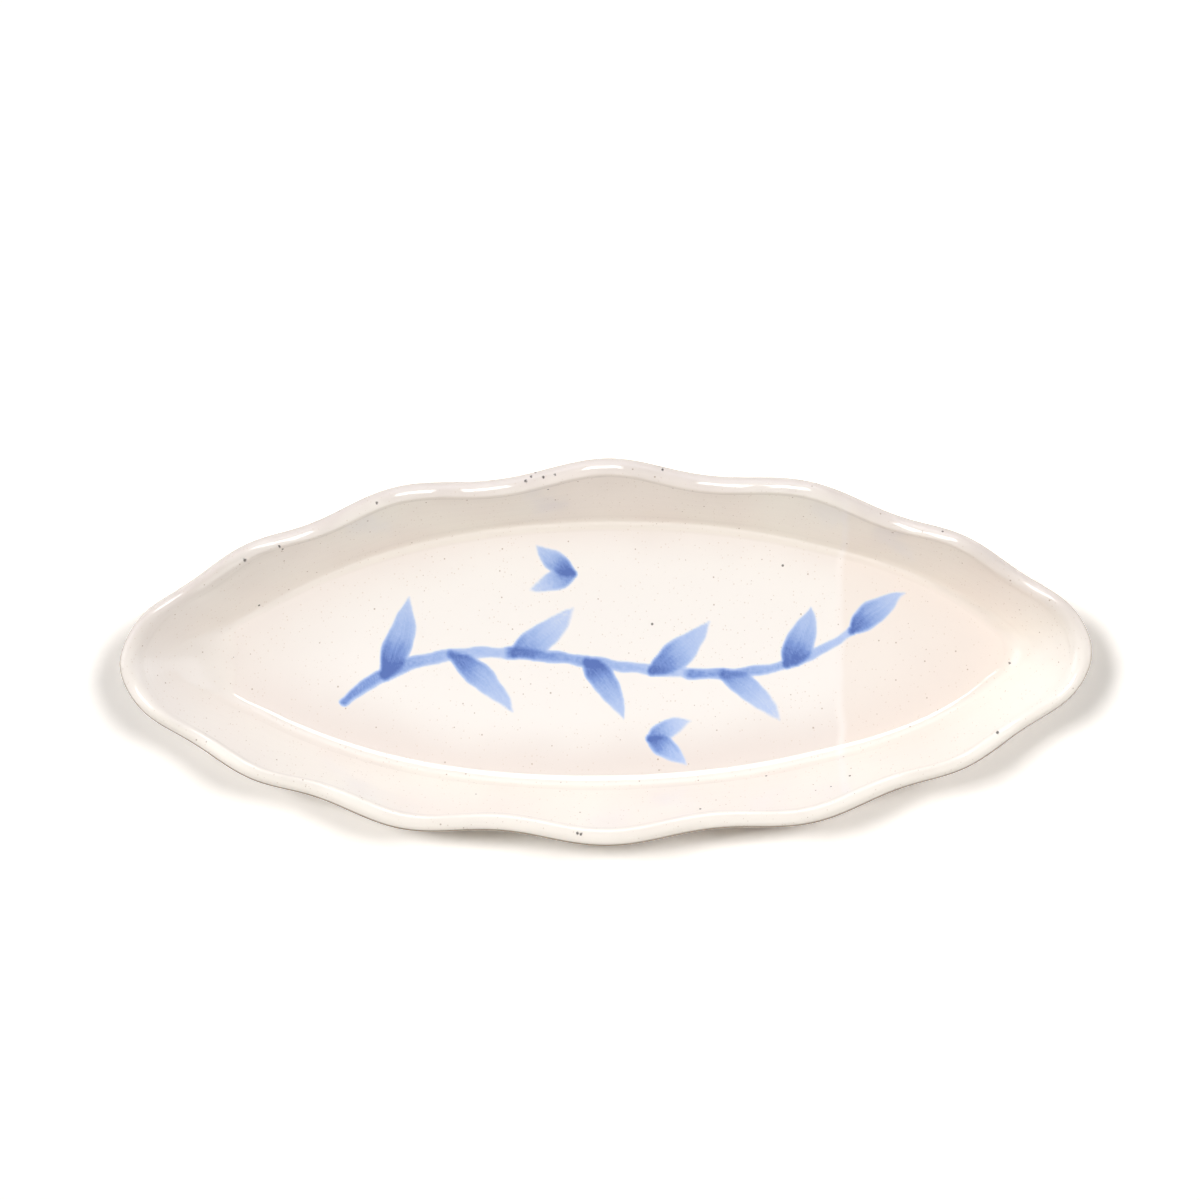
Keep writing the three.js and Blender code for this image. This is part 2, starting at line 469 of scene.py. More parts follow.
def hidden_ring(outward, lift=0.0):
    """A ring behind the coil or under it, which goes out with the wall's foot but not in."""
    return rings([floor_point(outward, lift)], np.minimum(inset_round(), 0))


def smooth_curve(controls):
    """A uniform cubic B-spline, with SPAN_ROWS rows for each span between control points."""
    t = np.linspace(0, 1, SPAN_ROWS, endpoint=False)[:, None]
    weights = ((1 - t) ** 3, 3 * t**3 - 6 * t**2 + 4, -3 * t**3 + 3 * t**2 + 3 * t + 1, t**3)
    spans = []
    for span in range(len(controls) - 3):
        near = controls[span : span + 4]
        spans.append(sum(weight * point for weight, point in zip(weights, near)) / 6)
    last = (controls[-3] + 4 * controls[-2] + controls[-1]) / 6
    return np.concatenate(spans + [last[None, :]])


def row_at(stretches, name, offset):
    """The row of the skin nearest to a control point, counted from the first of a stretch."""
    before = 0
    for stretch, points in stretches.items():
        if stretch == name:
            return round((before + offset - 1) * SPAN_ROWS)
        before += len(points)
    raise KeyError(name)


def surface_normals(grid):
    """Unit normals of a grid of rings."""
    down_rows = np.gradient(grid, axis=0)
    round_ring = np.roll(grid, -1, axis=1) - np.roll(grid, 1, axis=1)
    normals = np.cross(down_rows, round_ring)
    return normals / np.linalg.norm(normals, axis=-1, keepdims=True)


def faded_between(rows, first, last):
    """1 between two rows, falling to 0 at both ends."""
    rise = np.clip((rows - first) / THROW_FADE, 0, 1)
    fall = np.clip((last - rows) / THROW_FADE, 0, 1)
    return np.minimum(rise, fall)


def throwing_lines(section, marks):
    """Height of the throwing lines over the skin, a shallow spiral on both faces of the wall."""
    side = np.stack((section[:, 0] * SIDE_FLARE + section[:, 1], section[:, 2]), axis=-1)
    length = np.concatenate(([0], np.cumsum(np.linalg.norm(np.diff(side, axis=0), axis=1))))
    angle = angles_round()[None, :]
    phase = 2 * math.pi * length[:, None] / THROW_PITCH + angle + 0.8 * np.sin(2 * angle + 0.5)
    ridges = np.sin(phase) + 0.5 * np.sin(2.3 * phase + 0.7 * np.sin(3 * angle))
    rows = np.arange(len(section))
    inside = faded_between(rows, marks["head"], marks["lip_in"] - THROW_MARGIN)
    outside = faded_between(rows, marks["lip_out"] + THROW_MARGIN, marks["slab_edge"] - THROW_MARGIN)
    return THROW_HEIGHT * ridges * (inside + outside)[:, None]


def smeared(grid, marks):
    """The grid with the wall's foot smoothed across its rows, most of all on one stretch."""
    soft = grid.copy()
    for _ in range(SMEAR_PASSES):
        soft[1:-1] = (soft[:-2] + 2 * soft[1:-1] + soft[2:]) / 4
    turn = (np.degrees(angles_round()) - SMEARED[0]) / SMEARED[1]
    far = smooth_step(np.sin(angles_round()), *FAR_SMEAR_FADE)
    around = np.maximum(np.exp(-(turn**2)), FAR_SMEAR * far)
    below = 1 - smooth_step(np.arange(len(grid)), marks["head"], marks["lip_in"])
    share = (below[:, None] * around[None, :])[..., None]
    return grid * (1 - share) + soft * share


def section_rows(stretches):
    return smooth_curve([point for points in stretches.values() for point in points])


def glazed_skin():
    """The whole skin as a grid of rings, and the rows where one piece gives way to the next."""
    stretches = skin_controls(SIDE_COIL, SIDE_RISE, SIDE_CROWN)
    section = section_rows(stretches)
    marks = {name: row_at(stretches, *seam) for name, seam in SEAMS.items()}
    inset = foot_inset(len(section), marks)
    grid = rings(section, inset)
    tips = (
        (LEFT_COIL_CHANGE, LEFT_LIP_CHANGE, LEFT_COIL, LEFT_RISE),
        (RIGHT_COIL_CHANGE, RIGHT_LIP_CHANGE, RIGHT_COIL, RIGHT_RISE),
    )
    for coil_change, lip_change, coil, rise in tips:
        share = tip_share(len(section), marks, coil_change, lip_change)
        tip_section = section_rows(skin_controls(coil, rise, TIP_CROWN))
        grid = grid * (1 - share) + rings(tip_section, inset) * share
    grid = smeared(grid, marks)
    lines = throwing_lines(section, marks)
    return grid + surface_normals(grid) * lines[..., None], marks


# Meshes

def ring_quads(row_count, closed):
    """Quads between neighbouring rings, facing out where the section runs from inside to outside."""
    row = np.arange(row_count if closed else row_count - 1)[:, None]
    station = np.arange(STATIONS)[None, :]
    after = (station + 1) % STATIONS
    upper = (row + 1) % row_count
    corners = (
        row * STATIONS + station,
        upper * STATIONS + station,
        upper * STATIONS + after,
        row * STATIONS + after,
    )
    return np.stack(np.broadcast_arrays(*corners), axis=-1).reshape(-1, 4)


def leaf_grid(ring, row_count):
    """Columns of points that fill a leaf-shaped ring, with faces that look up."""
    column_count = len(ring) // 2 - 1
    top = ring[1 : column_count + 1]
    bottom = ring[:-column_count - 1 : -1]
    share = np.linspace(0, 1, row_count + 1)[None, :, None]
    columns = bottom[:, None, :] + (top - bottom)[:, None, :] * share
    tips = np.stack((ring[0], ring[column_count + 1]))
    points = np.concatenate((columns.reshape(-1, 3), tips))
    stride = row_count + 1
    column = np.arange(column_count - 1)[:, None] * stride
    step = np.arange(row_count)[None, :]
    corners = (column + step, column + step + 1, column + stride + step + 1, column + stride + step)
    faces = np.stack(corners, axis=-1).reshape(-1, 4).tolist()
    right_tip = column_count * stride
    last = (column_count - 1) * stride
    faces += [(right_tip, step + 1, step) for step in range(row_count)]
    faces += [(right_tip + 1, last + step, last + step + 1) for step in range(row_count)]
    border = np.concatenate((
        [right_tip],
        np.arange(column_count) * stride + row_count,
        [right_tip + 1],
        np.arange(column_count)[::-1] * stride,
    ))
    return points, faces, border


def make_piece(name, points, faces, sharp_groups, material):
    """A smooth mesh, sharp along each edge whose two ends share a group number above zero."""
    mesh = bpy.data.meshes.new(name)
    mesh.from_pydata(points.reshape(-1, 3).tolist(), [], faces)
    mesh.update(calc_edges=True)
    ends = np.zeros(len(mesh.edges) * 2, np.int32)
    mesh.edges.foreach_get("vertices", ends)
    groups = sharp_groups[ends.reshape(-1, 2)]
    sharp = (groups[:, 0] == groups[:, 1]) & (groups[:, 0] > 0)
    mesh.edges.foreach_set("use_edge_sharp", sharp)
    mesh.polygons.foreach_set("use_smooth", np.ones(len(mesh.polygons), bool))
    mesh.materials.append(material)
    piece = bpy.data.objects.new(name, mesh)
    bpy.context.scene.collection.objects.link(piece)
    return piece


def ring_piece(name, grid, sharp_rows, material):
    """A closed ring whose rows run round its section."""
    groups = np.zeros((len(grid), STATIONS), np.int32)
    for number, row in enumerate(sharp_rows, start=1):
        groups[row] = number
    faces = ring_quads(len(grid), closed=True).tolist()
    return make_piece(name, grid, faces, groups.ravel(), material)


def stand_for(piece, node):
    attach(piece, BODY)
    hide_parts(node)
    return piece


def add_attribute(piece, name, values):
    """A number for each point of a piece, which its material reads."""
    attribute = piece.data.attributes.new(name, "FLOAT", "POINT")
    attribute.data.foreach_set("value", values.astype(np.float32).ravel())


def add_row_attribute(piece, name, row_values):
    add_attribute(piece, name, np.repeat(row_values, STATIONS))


# Pieces of clay. Their attribute named reach is 0 in the middle of the floor, 1 on the crease round
# it, 2 where the coil ends and 3 from the lip on.

def make_seam_coil(skin, marks, material):
    """The fillet, closed behind along the wall and in the slab's groove."""
    face = skin[marks["toe"] : marks["head"] + 1]
    grid = np.concatenate((face, hidden_ring(0.0), hidden_ring(*COIL_BED)))
    last = len(face) - 1
    piece = ring_piece("seam_coil_visual", grid, (0, last), material)
    add_row_attribute(piece, "reach", 1 + np.clip(np.arange(len(grid)) / last, 0, 1))
    return stand_for(piece, "seam_coil")


def make_wall_ring(skin, marks, material):
    inside = skin[marks["head"] : marks["lip_in"] + 1]
    outside = skin[marks["lip_out"] : marks["slab_edge"] + 1]
    grid = np.concatenate((hidden_ring(0.0), inside, outside))
    top = len(inside)
    sharp = (1, top, top + 1, len(grid) - 1)
    piece = ring_piece("wall_ring_visual", grid, sharp, material)
    add_row_attribute(piece, "reach", 2 + np.clip((np.arange(len(grid)) - 1) / (top - 1), 0, 1))
    return stand_for(piece, "wall_ring")


def make_rim_coil(skin, marks, material):
    """The lip, with a note of how thin its glaze has run: more so the nearer to its outer edge. The same
    note places the painted light and shade on the lip.
    """
    grid = skin[marks["lip_in"] : marks["lip_out"] + 1]
    piece = ring_piece("rim_coil_visual", grid, (0, len(grid) - 1), material)
    over = np.arange(len(grid)) / SPAN_ROWS
    add_row_attribute(piece, "thin", np.interp(over, LIP_PLACES, LIP_THINNING))
    add_row_attribute(piece, "reach", np.full(len(grid), 3.0))
    return stand_for(piece, "rim_coil")


def floor_waves(points):
    """Slow waves of the floor, still at its border."""
    x, y = points[:, 0] / FLOOR_HALF_LENGTH, points[:, 1] / FLOOR_HALF_WIDTH
    calm = np.clip(1.1 * (0.86 - x**2 - y**2), 0, 1)
    waves = np.sin(5 * x + 1.0) * np.cos(3 * y + 0.3) + 0.6 * np.sin(11 * x - 4 * y)
    return FLOOR_WAVE * calm * waves


def finer_ring(ring):
    """A ring with one more point in the middle of each side."""
    middle = (ring + np.roll(ring, -1, axis=0)) / 2
    return np.stack((ring, middle), axis=1).reshape(-1, 3)


def floor_reach(points, row_count):
    """0 in the middle of a leaf grid and 1 on its border."""
    column_points = len(points) - 2
    across = np.tile(np.linspace(-1, 1, row_count + 1), column_points // (row_count + 1))
    along = points[:column_points, 0] / np.abs(points[:, 0]).max()
    inside = (1 - across**2) * (1 - along**2)
    return np.concatenate((1 - inside, (1.0, 1.0)))


def weld(points, faces, ring_start, border):
    """Moves faces from the border's points to the ring on the same place, and drops the border's."""
    target = np.arange(len(points))
    target[border] = ring_start + np.arange(STATIONS)
    kept = np.ones(len(points), bool)
    kept[border] = False
    number = np.cumsum(kept) - 1
    renamed = number[target]
    return points[kept], [tuple(int(renamed[corner]) for corner in face) for face in faces]


def make_floor_slab(skin, marks, material):
    """The slab: a fine top that carries the painting, its edge and its plain underside."""
    top, top_faces, top_border = leaf_grid(finer_ring(skin[marks["toe"]]), FLOOR_ROWS)
    top[:, 2] += floor_waves(top)
    edge = skin[marks["slab_edge"] :: EDGE_STEP]
    under, under_faces, under_border = leaf_grid(edge[-1], UNDER_ROWS)

    rim_of_slab = np.concatenate((hidden_ring(*COIL_BED), edge))
    points = np.concatenate((top, rim_of_slab.reshape(-1, 3), under))
    bed_start = len(top)
    edge_start = bed_start + STATIONS
    under_start = edge_start + edge.size // 3
    faces = list(top_faces)
    faces += (ring_quads(len(rim_of_slab), closed=False) + bed_start).tolist()
    faces += [tuple(under_start + corner for corner in face[::-1]) for face in under_faces]
    for station in range(STATIONS):
        after = (station + 1) % STATIONS
        left, middle, right = top_border[2 * station], top_border[2 * station + 1], top_border[2 * after]
        bed_left, bed_right = bed_start + station, bed_start + after
        faces += [(left, bed_left, middle), (middle, bed_left, bed_right), (middle, bed_right, right)]

    groups = np.zeros(len(points), np.int32)
    groups[top_border] = 1
    groups[edge_start : edge_start + STATIONS] = 2
    last_ring = edge_start + (len(edge) - 1) * STATIONS
    merged, faces = weld(points, faces, last_ring, under_start + under_border)
    piece = make_piece("floor_slab_visual", merged, faces, groups[: len(merged)], material)
    paint = np.zeros(len(merged))
    paint[: len(top)] = painted_density(top[:, :2])
    add_attribute(piece, "paint", paint)
    reach = np.full(len(merged), 3.0)
    reach[: len(top)] = floor_reach(top, FLOOR_ROWS)
    add_attribute(piece, "reach", reach)
    return stand_for(piece, "floor_slab")


def make_foot_ring(material):
    """A bare coil with rounded edges and a flat sole."""
    middle = -FOOT_OUTSIDE - FOOT_TOP_WIDTH / 2
    half_top, half_sole = FOOT_TOP_WIDTH / 2, FOOT_BOTTOM_WIDTH / 2
    out = half_sole + FOOT_ROUND
    profile = [
        (half_top + 0.6 * MM, UNDER_Z),
        (half_top + 0.1 * MM, UNDER_Z - 0.6 * MM),
        (half_top - 0.2 * MM, UNDER_Z / 2),
        (out - 0.1 * MM, 0.9 * MM),
        (out - 0.5 * MM, 0.3 * MM),
        (half_sole, 0.0),
    ]
    right = [np.array((0.0, middle + across, height)) for across, height in profile]
    left = [np.array((0.0, middle - across, height)) for across, height in profile[::-1]]
    grid = rings(right + left)
    piece = ring_piece("foot_ring_visual", grid, (0, len(grid) - 1), material)
    return stand_for(piece, "foot_ring")


# Brush painting

def bezier(points, count):
    """Points along a Bezier curve of any degree."""
    t = np.linspace(0, 1, count)[:, None]
    layer = [np.asarray(point, float)[None, :] for point in points]
    while len(layer) > 1:
        layer = [start + (end - start) * t for start, end in zip(layer, layer[1:])]
    return layer[0]


def turned(direction, degrees):
    turn = math.radians(degrees)
    cosine, sine = math.cos(turn), math.sin(turn)
    x, y = direction
    return np.array((cosine * x - sine * y, sine * x + cosine * y))


def leaf_stroke(base, direction, length, width, bend, wetness):
    """One press and lift of the brush: it swells from its point and tapers to a pale tail."""
    side = turned(direction, 90)
    bent = base + direction * length * 0.5 + side * bend
    path = bezier((base, bent, base + direction * length), STROKE_STEPS)
    u = np.linspace(0, 1, len(path))
    widths = width * np.sin(math.pi * np.clip(u, 0.04, 0.985) ** 0.75) ** 0.85
    load = wetness * (0.42 + 0.62 * np.exp(-((u / 0.38) ** 2)) - 0.16 * u)
    return path, widths, load


def stem_stroke(path):
    """The stem, for which the brush is dipped three times."""
    u = np.linspace(0, 1, len(path))
    widths = STEM_WIDTH * (1 - 0.35 * u) * (0.5 + 0.5 * smooth_step(u, 0.0, 0.05))
    load = 0.72 - 0.46 * np.mod(u * 2.999, 1.0) ** 0.7
    return path, widths, load


def sprig_strokes():
    """A trailing stem with leaves to either side, and one leaf at its end."""
    stem = bezier([np.array(point) * MM for point in STEM_POINTS], STEM_STEPS)
    strokes = [stem_stroke(stem)]
    for number, place in enumerate(LEAF_PLACES):
        at = round(place * (len(stem) - 1))
        along = stem[at + 1] - stem[at - 1]
        along /= np.linalg.norm(along)
        side = 1 if number % 2 == 0 else -1
        direction = turned(along, side * (LEAF_ANGLE + 5 * math.sin(2.3 * number)))
        length = LEAF_LENGTH * (1 - 0.03 * number + 0.08 * math.sin(1.7 * number))
        width = LEAF_WIDTH * (1 + 0.1 * math.sin(3.1 * number + 1))
        wetness = 1.0 - 0.18 * (number % 3)
        strokes.append(leaf_stroke(stem[at], direction, length, width, -side * LEAF_BEND, wetness))
    along = stem[-1] - stem[-3]
    along /= np.linalg.norm(along)
    strokes.append(leaf_stroke(stem[-1], along, LEAF_LENGTH * 0.8, LEAF_WIDTH * 0.9, 2.0 * MM, 0.9))
    return strokes


def sprout_strokes(base, heading):
    """Two short leaves that spring from one point."""
    strokes = []
    for spread, wetness in SPROUT_LEAVES:
        direction = turned(np.array((1.0, 0.0)), heading + spread)
        start = np.array(base) * MM
        strokes.append(leaf_stroke(start, direction, SPROUT_LENGTH, SPROUT_WIDTH, SPROUT_BEND, wetness))
    return strokes


def shaken(points):
    """Points moved a little, so that strokes drawn through them have an uneven edge."""
    x, y = points[:, 0] / MM, points[:, 1] / MM
    aside = np.sin(0.42 * y + 1.3 * np.sin(0.23 * x)) + 0.5 * np.sin(0.9 * x + 0.5 * y)
    along = np.sin(0.45 * x + 1.1 * np.sin(0.31 * y)) + 0.5 * np.sin(1.0 * y - 0.6 * x)
    return points + HAND_SHAKE * np.stack((aside, along), axis=1)


def stroke_density(points, path, widths, load):
    """How much colour one brush stroke leaves at each point, with faint lines from its hairs."""
    reach = widths.max() / 2 + 3 * SOFT_EDGE
    near = np.all((points > path.min(0) - reach) & (points < path.max(0) + reach), axis=1)
    spots = points[near]
    depth = np.full(len(spots), -1.0)
    colour = np.zeros(len(spots))
    hair = np.zeros(len(spots))
    for step in range(len(path) - 1):
        run = path[step + 1] - path[step]
        offset = spots - path[step]
        share = np.clip(offset @ run / (run @ run), 0, 1)
        away = np.linalg.norm(offset - share[:, None] * run, axis=1)
        half = (widths[step] + (widths[step + 1] - widths[step]) * share) / 2
        better = half - away > depth
        depth = np.where(better, half - away, depth)
        colour = np.where(better, load[step] + (load[step + 1] - load[step]) * share, colour)
        side = np.sign(run[0] * offset[:, 1] - run[1] * offset[:, 0])
        hair = np.where(better, side * away / half, hair)
    cover = smooth_step(depth, -SOFT_EDGE, SOFT_EDGE)
    streaks = 1 + 0.08 * np.sin(11 * hair + 2 * np.sin(5 * hair)) + 0.05 * np.sin(27 * hair)
    density = np.zeros(len(points))
    density[near] = np.clip(colour * cover * streaks, 0, 1)
    return density


def painted_density(points):
    """All strokes together, darker where they cross."""
    strokes = sprig_strokes()
    for base, heading in SPROUTS:
        strokes += sprout_strokes(base, heading)
    spots = shaken(points)
    bare = np.ones(len(points))
    for stroke in strokes:
        bare *= 1 - OVERLAP * stroke_density(spots, *stroke)
    return (1 - bare) / OVERLAP


# Materials

def add_node(tree, kind, inputs=None, **settings):
    """A node whose inputs are set to values or linked from other nodes' sockets."""
    node = tree.nodes.new(kind)
    for name, value in settings.items():
        setattr(node, name, value)
    for name, value in (inputs or {}).items():
        if isinstance(value, bpy.types.NodeSocket):
            tree.links.new(value, node.inputs[name])
        else:
            node.inputs[name].default_value = value
    return node


def maths(tree, operation, a, b=0.0):
    node = add_node(tree, "ShaderNodeMath", {0: a, 1: b}, operation=operation)
    return node.outputs[0]


def mixed(tree, factor, a, b):
    inputs = {"Factor": factor, 6: a, 7: b}
    node = add_node(tree, "ShaderNodeMix", inputs, data_type="RGBA")
    return node.outputs[2]


def ranged(tree, value, low, high, to_low=0.0, to_high=1.0):
    inputs = {"Value": value, "From Min": low, "From Max": high, "To Min": to_low, "To Max": to_high}
    node = add_node(tree, "ShaderNodeMapRange", inputs, interpolation_type="SMOOTHSTEP")
    return node.outputs["Result"]


def noise(tree, place, size, detail=2.0):
    """Noise whose blotches are about as wide as size."""
    inputs = {"Vector": place, "Scale": 1 / size, "Detail": detail}
    return add_node(tree, "ShaderNodeTexNoise", inputs).outputs["Fac"]


def attribute(tree, name):
    return add_node(tree, "ShaderNodeAttribute", attribute_name=name).outputs["Fac"]


def specks(tree, place, spacing, radius, share):
    """Round specks of differing size at a share of scattered points."""
    cells = add_node(tree, "ShaderNodeTexVoronoi", {"Vector": place, "Scale": 1 / spacing})
    random = add_node(tree, "ShaderNodeSeparateColor", {0: cells.outputs["Color"]}).outputs
    size = maths(tree, "MULTIPLY", ranged(tree, random[1], 0.0, 1.0, SPECK_LEAST, 1.0), radius / spacing)
    inner = maths(tree, "MULTIPLY", size, SPECK_CORE)
    dot = ranged(tree, cells.outputs["Distance"], size, inner)
    chosen = maths(tree, "LESS_THAN", random[0], share)
    return maths(tree, "MULTIPLY", dot, chosen)


def away_from(tree, x, y, along, across):
    """How far a point is from a place given in millimetres, seen from above."""
    dx = maths(tree, "SUBTRACT", x, along * MM)
    dy = maths(tree, "SUBTRACT", y, across * MM)
    squares = maths(tree, "ADD", maths(tree, "MULTIPLY", dx, dx), maths(tree, "MULTIPLY", dy, dy))
    return maths(tree, "SQRT", squares)


def flecked(tree, place, x, y, colour):
    """Single iron flecks of uneven outline, on what looks up."""
    normal = add_node(tree, "ShaderNodeNewGeometry").outputs["Normal"]
    lean = add_node(tree, "ShaderNodeSeparateXYZ", {0: normal}).outputs["Z"]
    most = ranged(tree, lean, *FLECK_LEAN, 0.0, FLECK_MOST)
    uneven = maths(tree, "MULTIPLY", noise(tree, place, FLECK_GRAIN), FLECK_RAGGED)
    for along, across, radius in FLECKS:
        away = maths(tree, "ADD", away_from(tree, x, y, along, across), uneven)
        spot = ranged(tree, away, (radius + 0.7) * MM, (radius * 0.5 + 0.5) * MM, 0.0, most)
        colour = mixed(tree, spot, colour, SPECK_DARK)
    return colour


def lip_thinned_lit_and_shaded(tree, place, y, colour):
    """The lip: greyer on the far side, partly thin glaze and partly painted shade; paler on the near
    side, a painted light; and dark along its near edge, partly bare clay and partly a painted contact
    shadow.
    """
    uneven = ranged(tree, noise(tree, place, LIP_BLOTCH), *NOISE_SPAN, 0.75, 1.15)
    thin = maths(tree, "MULTIPLY", attribute(tree, "thin"), uneven)
    far = ranged(tree, y, *LIP_ACROSS)
    near = maths(tree, "SUBTRACT", 1.0, far)
    # Far lip greyer: thin glaze and painted shade.
    far_thin_and_shade = maths(tree, "MULTIPLY", ranged(tree, thin, *FAR_THINNING_AND_SHADE), far)
    colour = mixed(tree, far_thin_and_shade, colour, GLAZE_THIN_AND_SHADED)
    # Near lip paler: a painted light.
    near_painted_light = maths(tree, "MULTIPLY", ranged(tree, thin, *NEAR_LIP_LIGHT), near)
    colour = mixed(tree, near_painted_light, colour, GLAZE_PAINTED_LIGHT)
    # Dark near edge: bare clay and a painted contact shadow.
    edge = ranged(tree, attribute(tree, "thin"), *EDGE_THINNING_AND_SHADOW, 0.0, EDGE_MOST)
    return mixed(tree, maths(tree, "MULTIPLY", edge, near), colour, GLAZE_EDGE_AND_SHADOW)


def pooled_and_lit(tree, place, x, y):
    """Glaze lighter in the middle of the floor and darker towards its border, partly thick and thin glaze
    and partly a painted pool of light and painted shade; creamier in the corner; cooler and darker to the
    left, a painted shade; and paler inside the near side of the right end, a painted light.
    """
    reach = attribute(tree, "reach")
    blotches = maths(tree, "SUBTRACT", noise(tree, place, FLOOR_BLOTCH), 0.5)
    drift = maths(tree, "MULTIPLY", blotches, BORDER_DRIFT)
    # Taking off the height across the floor paints it lighter towards its far side and darker towards its
    # near side.
    drift = maths(tree, "SUBTRACT", drift, maths(tree, "DIVIDE", y, BORDER_SHADE_SHIFT))
    spread = ranged(tree, maths(tree, "ADD", reach, drift), *BORDER_REACH)
    colour = mixed(tree, spread, GLAZE_THICK_AND_LIT, GLAZE_BORDER)
    colour = mixed(tree, ranged(tree, reach, *CREAM_REACH), colour, GLAZE_CREAM)
    wall = mixed(tree, ranged(tree, noise(tree, place, WALL_BLOTCH), *UPPER_SPAN), GLAZE, GLAZE_PINK)
    colour = mixed(tree, ranged(tree, reach, *WALL_REACH), colour, wall)
    # Cooler and darker towards the left end: a painted shade.
    left = ranged(tree, x, *COOL_ALONG, 0.0, COOL_MOST)
    cool_shade = maths(tree, "MULTIPLY", ranged(tree, reach, *COOL_REACH), left)
    colour = mixed(tree, cool_shade, colour, GLAZE_COOL_AND_SHADED)
    # Paler inside the near side of the right end, where the light falls: a painted light.
    right = ranged(tree, x, *PAINTED_LIGHT_ALONG)
    near_right = maths(tree, "MULTIPLY", right, ranged(tree, y, *PAINTED_LIGHT_ACROSS))
    pale = maths(tree, "MULTIPLY", ranged(tree, reach, *PAINTED_LIGHT_REACH), near_right)
    return mixed(tree, pale, colour, GLAZE_PAINTED_LIGHT)


def dipped_twice(tree, place, x, y, colour):
    """The second dip near one end, with a brighter band where the two overlap."""
    wander = maths(tree, "MULTIPLY", noise(tree, place, BAND_BLOTCH), BAND_WANDER)
    across = maths(tree, "ADD", x, maths(tree, "SUBTRACT", wander, BAND_WANDER / 2))
    second_dip = ranged(tree, across, BAND_X - BAND_HALF, BAND_X + BAND_HALF, 0.0, DIP_MOST)
    # On the walls the warm dip stays on the far side only, which paints shade on the far wall at that
    # end.
    dip_and_shade_on_walls = ranged(tree, y, *DIP_ACROSS, 0.0, DIP_AND_SHADE_ON_FAR_WALL)
    dip_and_shade = ranged(tree, attribute(tree, "reach"), 1.0, 2.0, 1.0, dip_and_shade_on_walls)
    colour = mixed(tree, maths(tree, "MULTIPLY", second_dip, dip_and_shade), colour, GLAZE_WARM)
    off_band = maths(tree, "ABSOLUTE", maths(tree, "SUBTRACT", across, BAND_X))
    return mixed(tree, ranged(tree, off_band, BAND_HALF, 0.0, 0.0, BAND_MOST), colour, GLAZE_DOUBLE)


def glaze_colour(tree, place):
    """Cream glaze with slow drifts, two dips, thin edges, iron specks and flecks, and painted light and
    shade on floor, walls and lip.
    """
    x, y = add_node(tree, "ShaderNodeSeparateXYZ", {0: place}).outputs[:2]
    colour = pooled_and_lit(tree, place, x, y)
    colour = dipped_twice(tree, place, x, y, colour)
    colour = lip_thinned_lit_and_shaded(tree, place, y, colour)
    for spacing, radius, share, strength, tint in SPECKS:
        spots = maths(tree, "MULTIPLY", specks(tree, place, spacing, radius, share), strength)
        colour = mixed(tree, spots, colour, tint)
    return flecked(tree, place, x, y, colour)


def painted_over(tree, place, colour):
    """Cobalt brushwork under the glaze, grainy and darker where the brush left more."""
    load = attribute(tree, "paint")
    grain = maths(tree, "MULTIPLY", noise(tree, place, PAINT_GRAIN, FINE_DETAIL), PAINT_VARIES)
    cloud = maths(tree, "MULTIPLY", noise(tree, place, PAINT_CLOUD), PAINT_VARIES)
    vary = maths(tree, "ADD", grain, cloud)
    load = maths(tree, "MULTIPLY", load, maths(tree, "ADD", vary, PAINT_LEAST))
    ramp = add_node(tree, "ShaderNodeValToRGB", {"Fac": load})
    stops = ramp.color_ramp.elements
    stops[0].position = PAINT_STOPS[0][0]
    stops[1].position = PAINT_STOPS[-1][0]
    for position, _ in PAINT_STOPS[1:-1]:
        stops.new(position)
    for stop, (_, tint) in zip(stops, PAINT_STOPS):
        stop.color = tint
    return mixed(tree, ranged(tree, load, *PAINT_COVERS), colour, ramp.outputs["Color"])


def new_material(name):
    material = bpy.data.materials.new(name)
    material.use_nodes = True
    tree = material.node_tree
    tree.nodes.clear()
    place = add_node(tree, "ShaderNodeTexCoord").outputs["Object"]
    return material, tree, place


def finish_material(tree, colour, roughness, bump):
    shader = add_node(tree, "ShaderNodeBsdfPrincipled", {
        "Base Color": colour,
        "Roughness": roughness,
        "Normal": bump,
    })
    add_node(tree, "ShaderNodeOutputMaterial", {"Surface": shader.outputs["BSDF"]})


def glaze_material(name, painted):
    material, tree, place = new_material(name)
    colour = glaze_colour(tree, place)
    if painted:
        colour = painted_over(tree, place, colour)
    roughness = ranged(tree, noise(tree, place, 8 * MM), *NOISE_SPAN, *GLAZE_ROUGHNESS)
    peel = add_node(tree, "ShaderNodeBump", {
        "Height": noise(tree, place, 6 * MM),
        "Strength": 0.12,
        "Distance": 0.1 * MM,
    })
    finish_material(tree, colour, roughness, peel.outputs["Normal"])
    return material


def clay_material():
    material, tree, place = new_material("bare_clay")
    dark = ranged(tree, noise(tree, place, 14 * MM, FINE_DETAIL), *UPPER_SPAN)
    colour = mixed(tree, dark, CLAY, CLAY_DARK)
    colour = mixed(tree, specks(tree, place, 2.4 * MM, 0.4 * MM, 0.5), colour, CLAY_GRIT)
    grit = add_node(tree, "ShaderNodeBump", {
        "Height": noise(tree, place, 0.7 * MM, FINE_DETAIL),
        "Strength": 0.5,
        "Distance": 0.15 * MM,
    })
    roughness = ranged(tree, noise(tree, place, 3 * MM), *NOISE_SPAN, *CLAY_ROUGHNESS)
    finish_material(tree, colour, roughness, grit.outputs["Normal"])
    return material


# Studio

